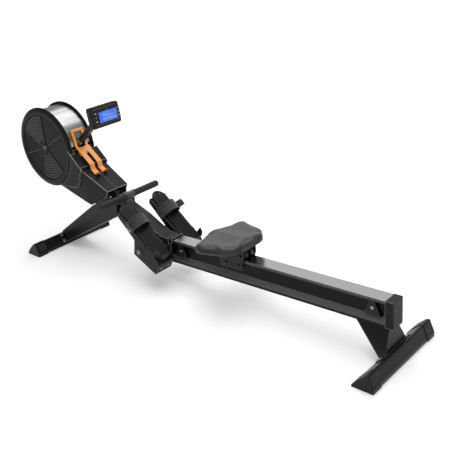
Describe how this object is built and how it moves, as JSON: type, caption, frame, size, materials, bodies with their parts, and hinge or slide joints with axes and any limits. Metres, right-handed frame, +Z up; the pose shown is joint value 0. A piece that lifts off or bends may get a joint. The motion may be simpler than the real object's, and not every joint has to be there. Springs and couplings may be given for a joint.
{
  "type": "air rowing machine",
  "caption": "Air-resistance rowing machine: fan drum at the front, long sloping seat rail on two cross feet, sliding seat, strapped footplates, pull handle and a tilting console.",
  "frame": {"origin": "on the floor, under the middle of the machine", "axes": "+X runs back along the rail from the fan towards the rear foot, +Z is up, and +Y completes the right-handed frame"},
  "size_m": [2.4859, 0.551, 0.9075],
  "materials": {
    "black_paint": "satin black powder coat",
    "black_plastic": "textured black plastic",
    "wheel_rubber": "rubber",
    "bolt_steel": "zinc plated",
    "dark_plastic": "charcoal moulded plastic",
    "roller_plastic": "nylon rollers",
    "webbing": "woven nylon webbing",
    "brushed_steel": "circumferentially brushed",
    "cover_plastic": "dark grey moulded plastic",
    "orange_paint": "satin orange paint",
    "screen_glass": "blue back-lit display",
    "light_grey_plastic": "light grey plastic",
    "button_plastic": "light grey buttons",
    "red_plastic": "red button",
    "grip_foam": "soft grip",
    "grey_plastic": "mid grey plastic",
    "alloy": "black-anodised extrusion sides over bare edges",
    "polished_steel": "polished stainless strip",
    "pad_vinyl": "grained black vinyl"
  },
  "bodies": {
    "frame": {"arm_clevis": "black_paint", "centre_cover": "grey_plastic", "drive_belt": "wheel_rubber", "fan_axle": "bolt_steel", "fan_band": "brushed_steel", "fan_cover_left": "cover_plastic", "fan_cover_right": "cover_plastic", "foot_box_left": "black_plastic", "foot_box_right": "black_plastic", "foot_flanges": "black_paint", "foot_strap_left": "webbing", "foot_strap_right": "webbing", "frame_bolts": "bolt_steel", "front_foot_caps": "black_plastic", "front_foot_tube": "black_paint", "front_leg": "black_paint", "handle_bracket": "orange_paint", "pull_strap_inner": "webbing", "rail": "alloy", "rail_end_cap": "dark_plastic", "rail_neck": "black_paint", "rail_stops": "black_plastic", "rail_top_plate": "polished_steel", "rear_foot_caps": "black_plastic", "rear_foot_tube": "black_paint", "rear_leg": "black_paint", "shroud_left": "dark_plastic", "shroud_right": "dark_plastic", "strap_buckles": "bolt_steel"},
    "handle": {"handle_bar": "bolt_steel", "handle_grip_left": "grip_foam", "handle_grip_right": "grip_foam", "handle_centre": "light_grey_plastic", "pull_strap": "webbing"},
    "guide_roller": {"guide_roller": "roller_plastic"},
    "spool": {"strap_spool": "black_plastic"},
    "drive_pulley": {"fan_pulley": "black_plastic"},
    "fan": {"fan_wheel": "dark_plastic", "fan_bearings": "bolt_steel"},
    "seat": {"seat_pad": "pad_vinyl", "seat_carriage": "black_paint", "seat_axles": "black_paint"},
    "top_rollers_front": {"top_rollers_front": "roller_plastic"},
    "top_rollers_rear": {"top_rollers_rear": "roller_plastic"},
    "low_rollers_front": {"low_rollers_front": "roller_plastic"},
    "low_rollers_rear": {"low_rollers_rear": "roller_plastic"},
    "footplate_left": {"footplate_left": "black_plastic"},
    "footplate_right": {"footplate_right": "black_plastic"},
    "monitor_arm": {"monitor_arm": "black_plastic"},
    "console": {"console_case": "black_plastic", "console_screen": "screen_glass"},
    "wheel_left": {"transport_wheel_left": "wheel_rubber"},
    "wheel_right": {"transport_wheel_right": "wheel_rubber"},
    "button_top": {"button_top": "light_grey_plastic"},
    "button_left_upper": {"button_left_upper": "button_plastic"},
    "button_left_middle": {"button_left_middle": "red_plastic"},
    "button_left_lower": {"button_left_lower": "button_plastic"},
    "button_right_upper": {"button_right_upper": "button_plastic"},
    "button_right_middle": {"button_right_middle": "button_plastic"},
    "button_right_lower": {"button_right_lower": "button_plastic"}
  },
  "joints": [
    {"name": "handle_pull", "type": "slide", "parent": "frame", "child": "handle", "axis": [0.9703, 0, 0.2419], "range_m": [0, 1.25]},
    {"name": "guide_turn", "type": "hinge", "parent": "frame", "child": "guide_roller", "pos_m": [-0.543, 0, 0.41], "axis": [0, 1, 0], "continuous": true},
    {"name": "spool_turn", "type": "hinge", "parent": "frame", "child": "spool", "pos_m": [-0.794, 0, 0.498], "axis": [0, 1, 0], "continuous": true},
    {"name": "drive_pulley_turn", "type": "hinge", "parent": "frame", "child": "drive_pulley", "pos_m": [-1.0125, 0, 0.615], "axis": [0, 1, 0], "continuous": true},
    {"name": "fan_turn", "type": "hinge", "parent": "frame", "child": "fan", "pos_m": [-1.0125, 0, 0.615], "axis": [0, 1, 0], "continuous": true},
    {"name": "seat_slide", "type": "slide", "parent": "frame", "child": "seat", "axis": [0.9993, 0, 0.0366], "range_m": [-0.26, 0.68]},
    {"name": "top_rollers_front_turn", "type": "hinge", "parent": "seat", "child": "top_rollers_front", "pos_m": [0.26193, 0, 0.28806], "axis": [0, 1, 0], "continuous": true},
    {"name": "low_rollers_front_turn", "type": "hinge", "parent": "seat", "child": "low_rollers_front", "pos_m": [0.27981, 0, 0.23708], "axis": [0, 1, 0], "continuous": true},
    {"name": "top_rollers_rear_turn", "type": "hinge", "parent": "seat", "child": "top_rollers_rear", "pos_m": [0.37386, 0, 0.29217], "axis": [0, 1, 0], "continuous": true},
    {"name": "low_rollers_rear_turn", "type": "hinge", "parent": "seat", "child": "low_rollers_rear", "pos_m": [0.35976, 0, 0.24002], "axis": [0, 1, 0], "continuous": true},
    {"name": "footplate_left_adjust", "type": "slide", "parent": "frame", "child": "footplate_left", "axis": [0.7771, 0, -0.6293], "range_m": [0, 0.07]},
    {"name": "footplate_right_adjust", "type": "slide", "parent": "frame", "child": "footplate_right", "axis": [0.7771, 0, -0.6293], "range_m": [0, 0.07]},
    {"name": "arm_fold", "type": "hinge", "parent": "frame", "child": "monitor_arm", "pos_m": [-0.792, 0, 0.669], "axis": [0, 1, 0], "range_deg": [-45, 20]},
    {"name": "console_tilt", "type": "hinge", "parent": "monitor_arm", "child": "console", "pos_m": [-0.59623, 0, 0.83776], "axis": [0, 1, 0], "range_deg": [-20, 25]},
    {"name": "button_top_press", "type": "slide", "parent": "console", "child": "button_top", "axis": [-0.9848, 0, -0.1736], "range_m": [0, 0.0015], "stiffness_N_per_m": 800},
    {"name": "button_left_upper_press", "type": "slide", "parent": "console", "child": "button_left_upper", "axis": [-0.9848, 0, -0.1736], "range_m": [0, 0.0015], "stiffness_N_per_m": 800},
    {"name": "button_left_middle_press", "type": "slide", "parent": "console", "child": "button_left_middle", "axis": [-0.9848, 0, -0.1736], "range_m": [0, 0.0015], "stiffness_N_per_m": 800},
    {"name": "button_left_lower_press", "type": "slide", "parent": "console", "child": "button_left_lower", "axis": [-0.9848, 0, -0.1736], "range_m": [0, 0.0015], "stiffness_N_per_m": 800},
    {"name": "button_right_upper_press", "type": "slide", "parent": "console", "child": "button_right_upper", "axis": [-0.9848, 0, -0.1736], "range_m": [0, 0.0015], "stiffness_N_per_m": 800},
    {"name": "button_right_middle_press", "type": "slide", "parent": "console", "child": "button_right_middle", "axis": [-0.9848, 0, -0.1736], "range_m": [0, 0.0015], "stiffness_N_per_m": 800},
    {"name": "button_right_lower_press", "type": "slide", "parent": "console", "child": "button_right_lower", "axis": [-0.9848, 0, -0.1736], "range_m": [0, 0.0015], "stiffness_N_per_m": 800},
    {"name": "wheel_left_turn", "type": "hinge", "parent": "frame", "child": "wheel_left", "pos_m": [-1.055, -0.2495, 0.026], "axis": [0, 1, 0], "continuous": true},
    {"name": "wheel_right_turn", "type": "hinge", "parent": "frame", "child": "wheel_right", "pos_m": [-1.055, 0.2495, 0.026], "axis": [0, 1, 0], "continuous": true}
  ],
  "couplings": [
    {"joint": "guide_turn", "follows": "handle_pull", "rad_per_m": -76.336},
    {"joint": "spool_turn", "follows": "handle_pull", "rad_per_m": -25.575},
    {"joint": "drive_pulley_turn", "follows": "handle_pull", "rad_per_m": -66.07},
    {"joint": "top_rollers_front_turn", "follows": "seat_slide", "rad_per_m": 44.843},
    {"joint": "low_rollers_front_turn", "follows": "seat_slide", "rad_per_m": -65.359},
    {"joint": "top_rollers_rear_turn", "follows": "seat_slide", "rad_per_m": 44.843},
    {"joint": "low_rollers_rear_turn", "follows": "seat_slide", "rad_per_m": -65.359}
  ]
}
